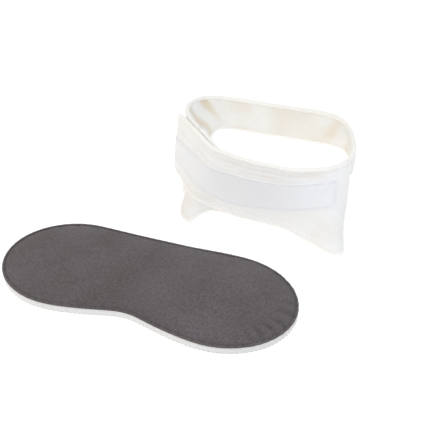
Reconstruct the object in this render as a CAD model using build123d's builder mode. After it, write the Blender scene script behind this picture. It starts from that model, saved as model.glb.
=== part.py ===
from build123d import *
import os

# Sleep eye mask in two loose pieces lying together: a contoured eye pad, flat
# on the table, and a padded head wrap closed into a ring and stood on its lobes.
# X runs along the pad, Y from the pad towards the wrap, Z up from the table.
# All sizes are in millimetres.

# ---- eye pad ----
pad_length = 216.0
pad_width = 88.0
nose_notch = 9.5         # depth of the hollow over the nose
brow_dip = 1.0           # shallow hollow in the opposite edge
lobe_centre = 56.0       # from the pad's middle to the centre of each end lobe
backing_t = 1.0
filling_t = 4.8
face_t = 1.0
edge_roll_t = 1.5        # height of the rolled rim above the filling
edge_roll_w = 2.4
side_band_t = 1.4

# ---- wrap, seen from above, measured from the pad's middle ----
wrap_left = -24.0
wrap_right = 121.0
wrap_front = 80.0
wrap_back = 175.0
front_left_x = 4.0       # the front wall ends here and the left wall slants away
slant_part = 0.63        # share of the depth over which the left wall slants away
corner_part = {"fr": 0.21, "br": 0.46, "bl": 0.25, "sl": 0.38, "fl": 0.3}

# ---- wrap, seen from the side ----
band_top = 67.0
arch_height = 10.0       # underside of the front band between the lobes
strap_height = 32.0
free_end_rise = 8.0      # how much the free end's lower edge climbs
low_corner_r = 12.0      # rounding of the free end's lower corner
top_corner_r = 5.0
lobe_slope = 12.0        # run over which a lobe drops from the band to the table
arch_left_x = 16.0
arch_right_x = 80.0
lobe_back_y = 92.0       # the right lobe's rear corner on the table
lobe_back_z = 36.0       # above this height its rear edge stands straight
strap_flare = 13.0       # ahead of the back wall the strap starts to widen here
strap_flare_z = 12.0     # its lower edge where it meets the left lobe

# ---- layers of the padded band ----
cloth_t = 0.9
padding_t = 2.4
edge_w = 3.2             # width of the soft rolled edge
strip_t = 0.9
hook_t = 1.0
soft_gap = 0.3           # between soft faces of different bodies
strip_width = 28.0
strip_bottom = 23.0

# ---- ends of the panels ----
root_y = 104.0           # rear edge of the right lobe, where the outer wing starts
lap = 12.0               # strap end tucked inside the outer wing
inner_root_y = 108.0     # rear edge of the left lobe, where the inner wing starts
inner_end_x = 88.0       # hidden end of the inner wing
free_end_y = 130.0       # free end of the outer wing, on the slanted left wall
strip_right_x = 108.0    # sewn end of the loop strip, short of the right corner
hook_start_x = 20.0      # the hook patch runs from here round to the free end

# ---- worked out from the sizes above ----
wall_t = 2 * cloth_t + padding_t
stand_off = strip_t + soft_gap + hook_t
free_end_low = arch_height + free_end_rise
depth = wrap_back - wrap_front
slant_end_y = wrap_front + slant_part * depth
strap_flare_y = wrap_back - strap_flare
corner_r = {name: part * depth for name, part in corner_part.items()}
centre_x = (wrap_right + soft_gap + wall_t - pad_length / 2) / 2
centre_y = (wrap_back - pad_width / 2) / 2
reach = 500.0

os.makedirs("parts", exist_ok=True)


def save(builder, name):
    """Label a finished piece and write it out."""
    builder.part.label = name
    export_step(builder.part, f"parts/{name}.step")


# ======================= eye pad =======================

def pad_area(inset):
    """Peanut outline moved in by inset.

    Two half ellipses are joined by a brow edge and a nose edge.
    """
    half = pad_width / 2 - inset
    end = pad_length / 2 - lobe_centre - inset
    with BuildSketch(mode=Mode.PRIVATE) as area:
        with BuildLine():
            EllipticalCenterArc((lobe_centre, 0), end, half, -90, arc_size=180)
            Spline(
                (lobe_centre, half),
                (0, half - brow_dip),
                (-lobe_centre, half),
                tangents=((-1, 0), (-1, 0)),
            )
            EllipticalCenterArc((-lobe_centre, 0), end, half, 90, arc_size=180)
            Spline(
                (-lobe_centre, -half),
                (0, nose_notch - half),
                (lobe_centre, -half),
                tangents=((1, 0), (1, 0)),
            )
        make_face()
    return area.sketch


def pad_layer(z, thickness, outer_inset, inner_inset=None):
    """One flat layer of the pad, with its underside at height z."""
    area = pad_area(outer_inset)
    if inner_inset is not None:
        area = area - pad_area(inner_inset)
    with BuildSketch(Plane.XY.offset(z)) as layer:
        with Locations((-centre_x, -centre_y)):
            add(area)
    extrude(layer.sketch, amount=thickness)


with BuildPart() as pad_backing:
    pad_layer(0, backing_t, 0)
save(pad_backing, "pad_backing")

with BuildPart() as pad_side_band:
    pad_layer(backing_t, filling_t, 0, side_band_t)
save(pad_side_band, "pad_side_band")

with BuildPart() as pad_filling:
    pad_layer(backing_t, filling_t, side_band_t)
save(pad_filling, "pad_filling")

with BuildPart() as pad_face:
    pad_layer(backing_t + filling_t, face_t, edge_roll_w)
save(pad_face, "pad_face")

with BuildPart() as pad_edge_roll:
    pad_layer(backing_t + filling_t, edge_roll_t, 0, edge_roll_w)
    top_loops = pad_edge_roll.faces().sort_by(Axis.Z)[-1].edges()
    fillet(top_loops, radius=edge_roll_t * 0.4)
save(pad_edge_roll, "pad_edge_roll")


# ======================= wrap =======================

def wrap_area(grow, front_extra=0.0):
    """Area inside the ring's outline, its walls pushed out by grow.

    The front and left walls move out by front_extra more than the others.
    """
    slant = (wrap_left - front_left_x, slant_end_y - wrap_front)
    length = (slant[0] ** 2 + slant[1] ** 2) ** 0.5
    shift = grow + front_extra
    front = wrap_front - shift
    left = wrap_left - shift
    # where the slanted wall, moved out by shift, meets the front and left walls
    nx = -slant[1] / length
    ny = slant[0] / length
    base_x = front_left_x + nx * shift
    base_y = wrap_front + ny * shift
    fl_x = base_x + (front - base_y) * slant[0] / slant[1]
    sl_y = base_y + (left - base_x) * slant[1] / slant[0]
    corners = {
        "fr": (wrap_right + grow, front),
        "br": (wrap_right + grow, wrap_back + grow),
        "bl": (left, wrap_back + grow),
        "sl": (left, sl_y),
        "fl": (fl_x, front),
    }
    with BuildSketch(mode=Mode.PRIVATE) as area:
        with BuildLine():
            Polyline(*corners.values(), close=True)
        make_face()
        for name, point in corners.items():
            nearest = area.vertices().sort_by_distance(Vector(*point))[0]
            fillet(nearest, radius=corner_r[name] + grow)
    return area.sketch


def wall(inner, outer, front_extra=0.0):
    """Full-height ring wall between two offsets of the outline."""
    ring = wrap_area(outer, front_extra) - wrap_area(inner, front_extra)
    with BuildSketch() as footprint:
        with Locations((-centre_x, -centre_y)):
            add(ring)
    extrude(footprint.sketch, amount=band_top)


def keep_box(x_low, x_high, y_low, y_high, z_low=0.0, z_high=band_top):
    """Keep only what lies in a box measured from the pad's middle."""
    middle = (
        (x_low + x_high) / 2 - centre_x,
        (y_low + y_high) / 2 - centre_y,
        (z_low + z_high) / 2,
    )
    with Locations(middle):
        Box(x_high - x_low, y_high - y_low, z_high - z_low, mode=Mode.INTERSECT)


def cut_box(x_low, x_high, y_low, y_high, z_low=0.0, z_high=band_top):
    """Cut away what lies in a box measured from the pad's middle."""
    middle = (
        (x_low + x_high) / 2 - centre_x,
        (y_low + y_high) / 2 - centre_y,
        (z_low + z_high) / 2,
    )
    with Locations(middle):
        Box(x_high - x_low, y_high - y_low, z_high - z_low, mode=Mode.SUBTRACT)


def keep_profile(points, radius, inset):
    """Keep only what lies behind an outline drawn in the front view.

    Points are (x, height). The outline's corners are rounded and its top and
    bottom then move in by inset.
    """
    with BuildSketch(mode=Mode.PRIVATE) as outline:
        with BuildLine():
            Polyline(*points, close=True)
        make_face()
        fillet(outline.vertices(), radius=radius)
        if inset > 0:
            offset(amount=-inset, mode=Mode.REPLACE)
    with BuildSketch(Plane.XZ.offset(reach)) as front_view:
        with Locations((-centre_x, 0)):
            add(outline.sketch)
    extrude(front_view.sketch, amount=-2 * reach, mode=Mode.INTERSECT)


def cut_side_view(points, side):
    """Cut away an outline drawn in the side view.

    Points are (y, height), measured from the pad's middle. Side is 1 to cut
    the right half of the ring and -1 to cut the left.
    """
    with BuildSketch(mode=Mode.PRIVATE) as outline:
        with BuildLine():
            Polyline(*points, close=True)
        make_face()
    with BuildSketch(Plane.YZ.offset(front_left_x - centre_x)) as side_view:
        with Locations((-centre_y, 0)):
            add(outline.sketch)
    extrude(side_view.sketch, amount=side * reach, mode=Mode.SUBTRACT)


# ---- back strap: from inside the right lobe round the back to the left lobe ----

def strap_span():
    """Trim a ring wall to the strap's length."""
    cut_box(wrap_left - reach, wrap_right - corner_r["fr"], 0, inner_root_y)
    cut_box(0, wrap_right + reach, 0, root_y - lap)


strap_bottom = band_top - strap_height


def strap_panel(inset=0.0):
    """Trim a ring wall to the strap below its top edge.

    The lower edge is level round the back, and slopes down to the left lobe.
    It moves up by inset.
    """
    strap_span()
    keep_box(-reach, reach, 0, reach, 0, band_top - edge_w)
    cut_box(front_left_x, reach, 0, reach, 0, strap_bottom + inset)
    cut_side_view(
        (
            (-reach, -1),
            (reach, -1),
            (reach, strap_bottom + inset),
            (strap_flare_y, strap_bottom + inset),
            (inner_root_y, strap_flare_z + inset),
            (-reach, strap_flare_z + inset),
        ),
        -1,
    )


with BuildPart() as strap_lining:
    wall(-wall_t, -wall_t + cloth_t)
    strap_panel(edge_w)
save(strap_lining, "strap_lining")

with BuildPart() as strap_padding:
    wall(-wall_t + cloth_t, -cloth_t)
    strap_panel(edge_w)
save(strap_padding, "strap_padding")

with BuildPart() as strap_shell:
    wall(-cloth_t, 0)
    strap_panel(edge_w)
save(strap_shell, "strap_shell")

with BuildPart() as strap_top_edge:
    wall(-wall_t, 0)
    strap_span()
    keep_box(-reach, reach, 0, reach, band_top - edge_w, band_top)
save(strap_top_edge, "strap_top_edge")

with BuildPart() as strap_bottom_edge:
    wall(-wall_t, 0)
    strap_panel()
    with BuildPart(mode=Mode.PRIVATE) as inside_panel:
        wall(-wall_t, 0)
        strap_panel(edge_w)
    add(inside_panel.part, mode=Mode.SUBTRACT)
save(strap_bottom_edge, "strap_bottom_edge")


# ---- inner wing: left lobe and the hidden end behind the outer wing ----

def inner_wing_span(inset=0.0):
    """Trim a ring wall to the inner wing, its panel inset at the ends."""
    keep_box(-reach, inner_end_x - inset, 0, inner_root_y - inset)
    keep_profile(
        (
            (wrap_left - 40, 0),
            (arch_left_x - lobe_slope, 0),
            (arch_left_x, arch_height),
            (inner_end_x + 20, arch_height),
            (inner_end_x + 20, band_top),
            (wrap_left - 40, band_top),
        ),
        4.0,
        inset,
    )


with BuildPart() as inner_wing_lining:
    wall(-wall_t, -wall_t + cloth_t)
    inner_wing_span(edge_w)
save(inner_wing_lining, "inner_wing_lining")

with BuildPart() as inner_wing_padding:
    wall(-wall_t + cloth_t, -cloth_t)
    inner_wing_span(edge_w)
save(inner_wing_padding, "inner_wing_padding")

with BuildPart() as inner_wing_shell:
    wall(-cloth_t, 0)
    inner_wing_span(edge_w)
save(inner_wing_shell, "inner_wing_shell")

with BuildPart() as inner_wing_edge:
    wall(-wall_t, 0)
    inner_wing_span()
    with BuildPart(mode=Mode.PRIVATE) as inner_panel:
        wall(-wall_t, 0)
        inner_wing_span(edge_w)
    add(inner_panel.part, mode=Mode.SUBTRACT)
save(inner_wing_edge, "inner_wing_edge")

with BuildPart() as inner_loop_strip:
    wall(0, strip_t)
    keep_box(
        -reach, inner_end_x - edge_w, 0, inner_root_y - edge_w,
        strip_bottom, strip_bottom + strip_width,
    )
save(inner_loop_strip, "inner_loop_strip")


# ---- outer wing: right lobe, front band and the free end at the left ----

outer_low = soft_gap
outer_high = soft_gap + wall_t
front_step = stand_off - soft_gap


def round_end_corner(z, radius, side, inset):
    """Round one corner of the free end: side is 1 at the top, -1 at the bottom."""
    y = free_end_y - centre_y - radius
    r = radius - inset
    with BuildSketch(Plane.YZ.offset(wrap_left - 60 - centre_x)) as corner:
        with Locations((y + r / 2 + 1, z - side * (radius - r / 2 - 1))):
            Rectangle(r + 2, r + 2)
        with Locations((y, z - side * radius)):
            Circle(r, mode=Mode.SUBTRACT)
    extrude(corner.sketch, amount=90, mode=Mode.SUBTRACT)


def outer_wing_span(inset=0.0):
    """Trim a ring wall to the outer wing, its panel inset all round."""
    keep_box(-reach, reach, 0, free_end_y - inset)
    cut_box(front_left_x + 20, reach, root_y - inset, reach)
    keep_profile(
        (
            (wrap_right + 40, 0),
            (arch_right_x + lobe_slope, 0),
            (arch_right_x, arch_height),
            (arch_left_x, arch_height),
            (front_left_x, free_end_low),
            (wrap_left - 40, free_end_low),
            (wrap_left - 40, band_top),
            (wrap_right + 40, band_top),
        ),
        3.5,
        inset,
    )
    slant_y = root_y - lobe_back_y
    back_y = lobe_back_y - inset
    cut_side_view(
        (
            (back_y, 0),
            (back_y + slant_y, lobe_back_z),
            (back_y + slant_y + reach, lobe_back_z),
            (back_y + slant_y + reach, 0),
        ),
        1,
    )
    round_end_corner(free_end_low, low_corner_r, -1, inset)
    round_end_corner(band_top, top_corner_r, 1, inset)


with BuildPart() as outer_wing_lining:
    wall(outer_low, outer_low + cloth_t, front_step)
    outer_wing_span(edge_w)
save(outer_wing_lining, "outer_wing_lining")

with BuildPart() as outer_wing_padding:
    wall(outer_low + cloth_t, outer_high - cloth_t, front_step)
    outer_wing_span(edge_w)
save(outer_wing_padding, "outer_wing_padding")

with BuildPart() as outer_wing_shell:
    wall(outer_high - cloth_t, outer_high, front_step)
    outer_wing_span(edge_w)
save(outer_wing_shell, "outer_wing_shell")

with BuildPart() as outer_wing_edge:
    wall(outer_low, outer_high, front_step)
    outer_wing_span()
    with BuildPart(mode=Mode.PRIVATE) as outer_panel:
        wall(outer_low, outer_high, front_step)
        outer_wing_span(edge_w)
    add(outer_panel.part, mode=Mode.SUBTRACT)
save(outer_wing_edge, "outer_wing_edge")

with BuildPart() as outer_loop_strip:
    wall(outer_high, outer_high + strip_t, front_step)
    keep_box(
        -reach, strip_right_x, 0, free_end_y - edge_w,
        strip_bottom, strip_bottom + strip_width,
    )
save(outer_loop_strip, "outer_loop_strip")

with BuildPart() as hook_patch:
    wall(outer_low - hook_t, outer_low, front_step)
    keep_box(
        -reach, hook_start_x, 0, free_end_y - edge_w,
        strip_bottom, strip_bottom + strip_width,
    )
save(hook_patch, "hook_patch")
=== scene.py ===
"""Sleep eye mask: a padded head wrap closed into a ring, and a contoured eye pad lying in front.

Lengths inside the shape classes are millimetres measured from the middle of the pad's underside,
and are moved into the row frame, in metres, as each mesh is written.
"""

import logging
import math
from dataclasses import dataclass, field
from enum import Enum
from typing import Callable, Iterable, Sequence

import bpy
import numpy as np
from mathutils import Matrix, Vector
from mathutils.geometry import delaunay_2d_cdt


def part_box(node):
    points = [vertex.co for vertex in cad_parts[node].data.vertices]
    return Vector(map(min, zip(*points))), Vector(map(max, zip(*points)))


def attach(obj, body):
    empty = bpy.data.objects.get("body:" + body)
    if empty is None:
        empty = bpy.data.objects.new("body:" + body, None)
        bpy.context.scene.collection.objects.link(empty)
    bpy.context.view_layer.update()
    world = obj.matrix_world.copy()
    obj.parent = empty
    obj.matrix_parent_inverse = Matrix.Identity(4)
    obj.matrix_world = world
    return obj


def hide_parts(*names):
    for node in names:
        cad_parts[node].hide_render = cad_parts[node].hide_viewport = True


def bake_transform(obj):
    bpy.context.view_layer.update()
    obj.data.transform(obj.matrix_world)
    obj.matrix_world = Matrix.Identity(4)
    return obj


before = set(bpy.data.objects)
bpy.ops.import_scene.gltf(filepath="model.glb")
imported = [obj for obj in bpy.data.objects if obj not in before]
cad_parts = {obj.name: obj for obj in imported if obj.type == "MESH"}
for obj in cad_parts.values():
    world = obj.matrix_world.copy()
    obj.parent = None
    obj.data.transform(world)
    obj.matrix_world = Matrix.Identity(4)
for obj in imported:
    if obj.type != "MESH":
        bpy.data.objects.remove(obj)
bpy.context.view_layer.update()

LOG = logging.getLogger("sleep_mask")
MM = 0.001
OUTLINE_STEP = 1.2  # spacing of a panel outline's points, millimetres
Array = np.ndarray


class Side(Enum):
    """Which face of a padded panel a piece covers."""

    OUT = 1.0
    IN = -1.0


# ---------------------------------------------------------------- small maths


def middle_of(node: str) -> Vector:
    """Middle of a CAD node's box, on its underside, in metres."""
    low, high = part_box(node)
    return Vector(((low.x + high.x) / 2, (low.y + high.y) / 2, low.z))


PAD_MIDDLE = np.array(middle_of("pad_backing"))


def to_frame(points: Array) -> Array:
    """Move points from millimetres about the pad's middle into the row frame.

    Args:
        points: n by 3 array in millimetres.

    Returns:
        The same points in metres.
    """
    return np.asarray(points, float) * MM + PAD_MIDDLE


def value_noise(x: Array, y: Array, seed: int) -> Array:
    """Smooth seeded noise from -1 to 1 on a plane, one lump per unit.

    Args:
        x: first coordinate of each point.
        y: second coordinate of each point.
        seed: picks the pattern.

    Returns:
        One value per point.
    """
    table = np.random.default_rng(seed).uniform(-1, 1, (64, 64))
    xi, yi = np.floor(x).astype(int), np.floor(y).astype(int)
    fx, fy = x - xi, y - yi
    fx, fy = fx * fx * (3 - 2 * fx), fy * fy * (3 - 2 * fy)
    a = table[xi % 64, yi % 64]
    b = table[(xi + 1) % 64, yi % 64]
    c = table[xi % 64, (yi + 1) % 64]
    d = table[(xi + 1) % 64, (yi + 1) % 64]
    return (a * (1 - fx) + b * fx) * (1 - fy) + (c * (1 - fx) + d * fx) * fy


def distance_to_loop(points: Array, loop: Array) -> Array:
    """Distance from each point to a closed outline in the same plane.

    Args:
        points: n by 2 array.
        loop: m by 2 array, the outline's points in order.

    Returns:
        n distances.
    """
    ends = np.roll(loop, -1, axis=0)
    along = ends - loop
    squared = np.maximum((along**2).sum(1), 1e-9)
    best = np.full(len(points), np.inf)
    for start, step, size in zip(loop, along, squared):
        t = np.clip(((points - start) @ step) / size, 0, 1)
        gap = points - (start + t[:, None] * step)
        best = np.minimum(best, (gap**2).sum(1))
    return np.sqrt(best)


def counter_clockwise(loop: Array) -> Array:
    """Turn a closed outline counter-clockwise.

    Args:
        loop: n by 2 array of its points in order.

    Returns:
        The same points, in reverse order if they ran clockwise.
    """
    ahead = np.roll(loop, -1, axis=0)
    area = np.sum(loop[:, 0] * ahead[:, 1] - ahead[:, 0] * loop[:, 1])
    return loop[::-1] if area < 0 else loop


def inward_of(loop: Array) -> Array:
    """Find which way is in along an outline.

    Args:
        loop: n by 2 array, counter-clockwise.

    Returns:
        n by 2 array of unit vectors.
    """
    along = np.roll(loop, -1, axis=0) - np.roll(loop, 1, axis=0)
    inward = np.column_stack([-along[:, 1], along[:, 0]])
    return inward / np.linalg.norm(inward, axis=1)[:, None]


def respace(loop: Array, step: float) -> Array:
    """Points spaced evenly along a closed outline.

    Args:
        loop: the outline's points in order.
        step: spacing of the points returned.

    Returns:
        m by 2 array, starting at the first point.
    """
    line = np.vstack([loop, loop[:1]])
    run = np.r_[0, np.cumsum(np.linalg.norm(np.diff(line, axis=0), axis=1))]
    even = np.linspace(0, run[-1], round(run[-1] / step), endpoint=False)
    return np.column_stack([np.interp(even, run, line[:, k]) for k in (0, 1)])


def flat_inset(loop: Array, amount: float) -> Array:
    """Move an outline in, with its corners cleaned.

    Args:
        loop: n by 2 array of its points in order.
        amount: how far in.

    Returns:
        m by 2 array.
    """
    loop = counter_clockwise(loop)
    row = loop + inward_of(loop) * amount
    return row[distance_to_loop(row, loop) > amount * 0.97]


def rounded_loop(corners: Sequence[tuple[float, float, float]], step: float) -> Array:
    """Closed outline through corners with their own rounding radii.

    Args:
        corners: (x, y, radius) of each corner, in order.
        step: spacing of the points returned.

    Returns:
        m by 2 array of evenly spaced points, starting near the first corner.
    """
    points: list[Array] = []
    n = len(corners)
    for i in range(n):
        p = np.array(corners[i][:2])
        a = np.array(corners[i - 1][:2])
        b = np.array(corners[(i + 1) % n][:2])
        u = (a - p) / np.linalg.norm(a - p)
        v = (b - p) / np.linalg.norm(b - p)
        half = math.acos(float(np.clip(u @ v, -1, 1))) / 2
        most = 0.49 * min(np.linalg.norm(a - p), np.linalg.norm(b - p))
        reach = min(corners[i][2] / math.tan(half), most)
        for t in np.linspace(0, 1, 13):
            points.append((1 - t) ** 2 * (p + u * reach) + 2 * t * (1 - t) * p + t**2 * (p + v * reach))
    return respace(np.array(points), step)


# ---------------------------------------------------------------- node trees


def add_node(tree: bpy.types.NodeTree, kind: str, inputs: dict | None = None, **settings) -> bpy.types.Node:
    """Add a node to a tree.

    Args:
        tree: the tree.
        kind: the node's type.
        inputs: constants of its sockets.
        **settings: its own settings, made before the sockets are filled.

    Returns:
        The node.
    """
    node = tree.nodes.new(kind)
    for key, value in settings.items():
        setattr(node, key, value)
    for key, value in (inputs or {}).items():
        node.inputs[key].default_value = value
    return node


# ---------------------------------------------------------------- finishes


@dataclass(frozen=True)
class Finish:
    """A cloth-like finish: two close colours, a weave, a sheen and painted shade in the folds.

    Attributes:
        name: material name.
        base: main colour, linear.
        drift: the colour that slow blotches move towards.
        fold: colour of the painted shade in creases, seam grooves and puckers; rolled edges also take a
            slight random tint of it.
        thread: spacing of the weave's threads, metres.
        relief: height of the weave, metres.
        rough: surface roughness.
        sheen: weight of the soft edge glow.
        nap: height of the fuzzy noise, metres.
        fuzz: how fine the fuzzy noise is, lumps per metre.
        contrast: how far the weave and the fuzz darken the colour.
    """

    name: str
    base: tuple[float, float, float]
    drift: tuple[float, float, float]
    fold: tuple[float, float, float]
    thread: float = 0.0005
    relief: float = 0.00006
    rough: float = 0.85
    sheen: float = 0.3
    nap: float = 0.00005
    fuzz: float = 900.0
    contrast: float = 0.16

    def material(self) -> bpy.types.Material:
        """Build the material, or give back the one already built.

        Returns:
            The finish as a node material.
        """
        known = bpy.data.materials.get(self.name)
        if known:
            return known
        mat = bpy.data.materials.new(self.name)
        mat.use_nodes = True
        tree = mat.node_tree
        links = tree.links
        shader = tree.nodes["Principled BSDF"]
        shader.inputs["Roughness"].default_value = self.rough
        shader.inputs["Sheen Weight"].default_value = self.sheen
        shader.inputs["Sheen Roughness"].default_value = 0.45
        shader.inputs["Specular IOR Level"].default_value = 0.25

        uv = add_node(tree, "ShaderNodeUVMap", uv_map="cloth")
        place = add_node(tree, "ShaderNodeTexCoord")
        blotch = add_node(tree, "ShaderNodeTexNoise", {"Scale": 26.0, "Detail": 4.0})
        fleck = add_node(tree, "ShaderNodeTexNoise", {"Scale": self.fuzz, "Detail": 3.0})
        # Painted shade: the per-vertex amount read here mixes the colour toward the fold colour in creases,
        # grooves and puckers.
        shade_and_tint = add_node(tree, "ShaderNodeAttribute", attribute_name="shade_and_tint")
        blend = add_node(
            tree, "ShaderNodeMix", {"A": (*self.base, 1), "B": (*self.drift, 1)}, data_type="RGBA"
        )
        tint = add_node(tree, "ShaderNodeMix", {"B": (*self.fold, 1)}, data_type="RGBA")
        dark = add_node(
            tree, "ShaderNodeMix", {"Factor": self.contrast}, data_type="RGBA", blend_type="MULTIPLY"
        )
        warp, weft = (self.bands(tree, uv, direction) for direction in "XY")
        weave = add_node(tree, "ShaderNodeMath", operation="MAXIMUM")
        mottle = add_node(tree, "ShaderNodeMath", {1: 1.9}, operation="MULTIPLY_ADD")
        half = add_node(tree, "ShaderNodeMath", {1: 0.35, 2: -0.25}, operation="MULTIPLY_ADD")
        fine = add_node(tree, "ShaderNodeBump", {"Strength": 0.6, "Distance": self.relief})
        soft = add_node(tree, "ShaderNodeBump", {"Strength": 0.5, "Distance": self.nap})
        for start, end in (
            (place.outputs["Object"], blotch.inputs["Vector"]),
            (place.outputs["Object"], fleck.inputs["Vector"]),
            (blotch.outputs["Fac"], blend.inputs["Factor"]),
            (shade_and_tint.outputs["Fac"], tint.inputs["Factor"]),
            (blend.outputs["Result"], tint.inputs["A"]),
            (tint.outputs["Result"], dark.inputs["A"]),
            (warp.outputs["Fac"], weave.inputs[0]),
            (weft.outputs["Fac"], weave.inputs[1]),
            (fleck.outputs["Fac"], mottle.inputs[0]),
            (weave.outputs[0], half.inputs[0]),
            (half.outputs[0], mottle.inputs[2]),
            (mottle.outputs[0], dark.inputs["B"]),
            (dark.outputs["Result"], shader.inputs["Base Color"]),
            (weave.outputs[0], fine.inputs["Height"]),
            (fleck.outputs["Fac"], soft.inputs["Height"]),
            (fine.outputs["Normal"], soft.inputs["Normal"]),
            (soft.outputs["Normal"], shader.inputs["Normal"]),
        ):
            links.new(start, end)
        return mat

    def bands(self, tree: bpy.types.NodeTree, uv: bpy.types.Node, direction: str) -> bpy.types.Node:
        """Add one set of the weave's threads.

        Args:
            tree: the material's tree.
            uv: node that gives the cloth's own coordinates.
            direction: X or Y, the way the threads are counted.

        Returns:
            The wave node.
        """
        scale = 2 * math.pi / (20 * self.thread)
        sockets = {"Scale": scale, "Distortion": 0.6, "Detail": 1.0}
        wave = add_node(tree, "ShaderNodeTexWave", sockets, bands_direction=direction)
        tree.links.new(uv.outputs["UV"], wave.inputs["Vector"])
        return wave


# Each finish's third colour is its painted shade, mixed in at creases, seam grooves and puckers.
CREAM = Finish(
    "cream_knit", (0.905, 0.91, 0.925), (0.885, 0.88, 0.87), (0.76, 0.69, 0.585), contrast=0.07
)
CREAM_EDGE = Finish(
    "cream_binding", (0.96, 0.96, 0.945), (0.93, 0.915, 0.88), (0.80, 0.73, 0.62), contrast=0.07
)
LINING = Finish(
    "lining_knit", (0.905, 0.91, 0.905), (0.84, 0.82, 0.78), (0.76, 0.65, 0.50),
    sheen=0.4, contrast=0.08,
)
LOOP = Finish(
    "brushed_loop", (0.86, 0.87, 0.905), (0.88, 0.885, 0.91), (0.76, 0.76, 0.84),
    thread=0.0011, relief=0.00010, rough=0.95, sheen=0.3, nap=0.00015, fuzz=1500.0, contrast=0.06,
)
HOOK = Finish(
    "moulded_hook", (0.86, 0.86, 0.87), (0.80, 0.80, 0.82), (0.7, 0.7, 0.7),
    thread=0.0016, relief=0.0004, rough=0.5, sheen=0.0, nap=0.00005,
)
FOAM = Finish(
    "soft_filling", (0.85, 0.83, 0.76), (0.80, 0.77, 0.68), (0.6, 0.55, 0.4),
    thread=0.003, relief=0.00002, rough=0.95, sheen=0.0, nap=0.0004, fuzz=700.0,
)
CHARCOAL = Finish(
    "charcoal_satin", (0.082, 0.066, 0.063), (0.148, 0.136, 0.150), (0.07, 0.062, 0.066),
    thread=0.0008, relief=0.0001, rough=0.8, sheen=0.25, fuzz=620.0, contrast=0.5,
)
CHARCOAL_EDGE = Finish(
    "charcoal_binding", (0.085, 0.070, 0.067), (0.150, 0.135, 0.140), (0.06, 0.050, 0.050),
    thread=0.0008, relief=0.0001, rough=0.8, sheen=0.25, fuzz=620.0, contrast=0.4,
)
WHITE = Finish("white_knit", (0.76, 0.76, 0.765), (0.73, 0.73, 0.735), (0.60, 0.59, 0.58))
THREAD = Finish(
    "white_thread", (0.90, 0.88, 0.83), (0.82, 0.80, 0.75), (0.6, 0.55, 0.45),
    thread=0.0004, relief=0.00003, rough=0.6, sheen=0.2,
)
DARK_THREAD = Finish(
    "dark_thread", (0.07, 0.062, 0.065), (0.09, 0.08, 0.085), (0.04, 0.035, 0.037),
    thread=0.0004, relief=0.00003, rough=0.55, sheen=0.2,
)


# ---------------------------------------------------------------- meshes


def make_piece(
    name: str,
    points: Array,
    faces: Iterable[Sequence[int]],
    finish: Finish,
    uv: Array | None = None,
    shade_and_tint: Array | None = None,
) -> bpy.types.Object:
    """Write a mesh object in the row frame.

    Args:
        name: object name.
        points: vertices in millimetres about the pad's middle.
        faces: vertex indices, facing out.
        finish: what it is made of.
        uv: the cloth's own coordinates of each vertex, metres.
        shade_and_tint: 0 to 1 amount of each vertex: painted shade in folds and grooves, and a slight tint
            on rolled edges and the side band.

    Returns:
        The new object, at the origin.
    """
    mesh = bpy.data.meshes.new(name)
    mesh.from_pydata(to_frame(points).tolist(), [], [list(map(int, f)) for f in faces])
    mesh.validate()
    if uv is None:
        uv = np.asarray(points)[:, :2] * MM
    layer = mesh.uv_layers.new(name="cloth")
    corners = np.zeros(len(mesh.loops), int)
    mesh.loops.foreach_get("vertex_index", corners)
    layer.data.foreach_set("uv", np.asarray(uv, float)[corners].ravel())
    # Per-vertex amount of painted shade in folds and grooves, and of a slight tint on rolled edges and the
    # pad's side band.
    shade_and_tint_amount = mesh.attributes.new("shade_and_tint", "FLOAT", "POINT")
    values = np.zeros(len(points)) if shade_and_tint is None else np.clip(shade_and_tint, 0, 1)
    shade_and_tint_amount.data.foreach_set("value", values.astype(np.float32))
    mesh.polygons.foreach_set("use_smooth", [True] * len(mesh.polygons))
    mesh.materials.append(finish.material())
    mesh.update()
    obj = bpy.data.objects.new(name, mesh)
    bpy.context.scene.collection.objects.link(obj)
    LOG.info("%s: %d faces", name, len(mesh.polygons))
    return obj


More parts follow.
